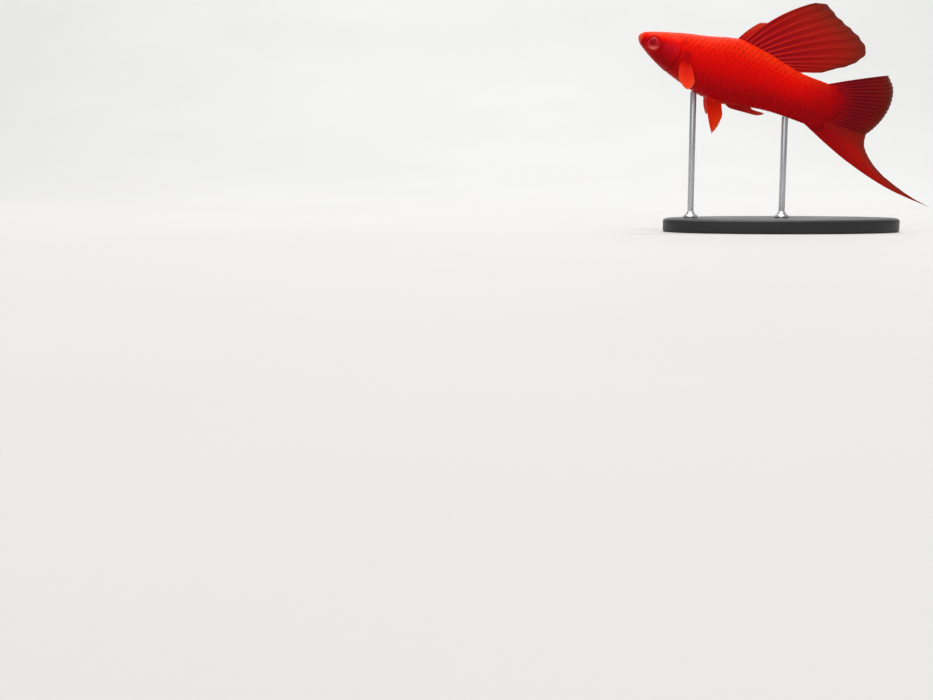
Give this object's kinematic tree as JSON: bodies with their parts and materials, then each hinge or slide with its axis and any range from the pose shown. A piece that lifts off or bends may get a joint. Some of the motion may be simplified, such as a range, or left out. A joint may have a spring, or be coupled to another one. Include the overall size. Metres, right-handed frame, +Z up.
{
  "type": "swordtail fish on display stand",
  "caption": "Life-size red male swordtail swimming nose-up, tall dorsal fin spread and tail sword drawn out, on a flat base with two thin rods.",
  "frame": {"origin": "middle of the flat underside of the base, below the middle of the fish", "axes": "+X towards the tail, +Y towards the fish's right side, +Z up"},
  "size_m": [0.0844, 0.034, 0.0645],
  "materials": {
    "skin": "wet scaled skin",
    "eye": "clear wet dome",
    "fin": "thin rayed membrane",
    "sword": "thin rayed membrane",
    "paired_fin": "thin rayed membrane",
    "base": "satin",
    "rod": "brushed"
  },
  "bodies": {
    "root": {"head": "skin", "trunk": "skin", "tail_stalk": "skin", "eye_left": "eye", "eye_right": "eye", "dorsal_fin": "fin", "tail_fan": "fin", "tail_sword": "sword", "pectoral_fin_left": "paired_fin", "pectoral_fin_right": "paired_fin", "pelvic_fin_left": "paired_fin", "pelvic_fin_right": "paired_fin", "gonopodium": "paired_fin", "stand_base": "base", "stand_rod_front": "rod", "stand_rod_rear": "rod"}
  },
  "joints": []
}
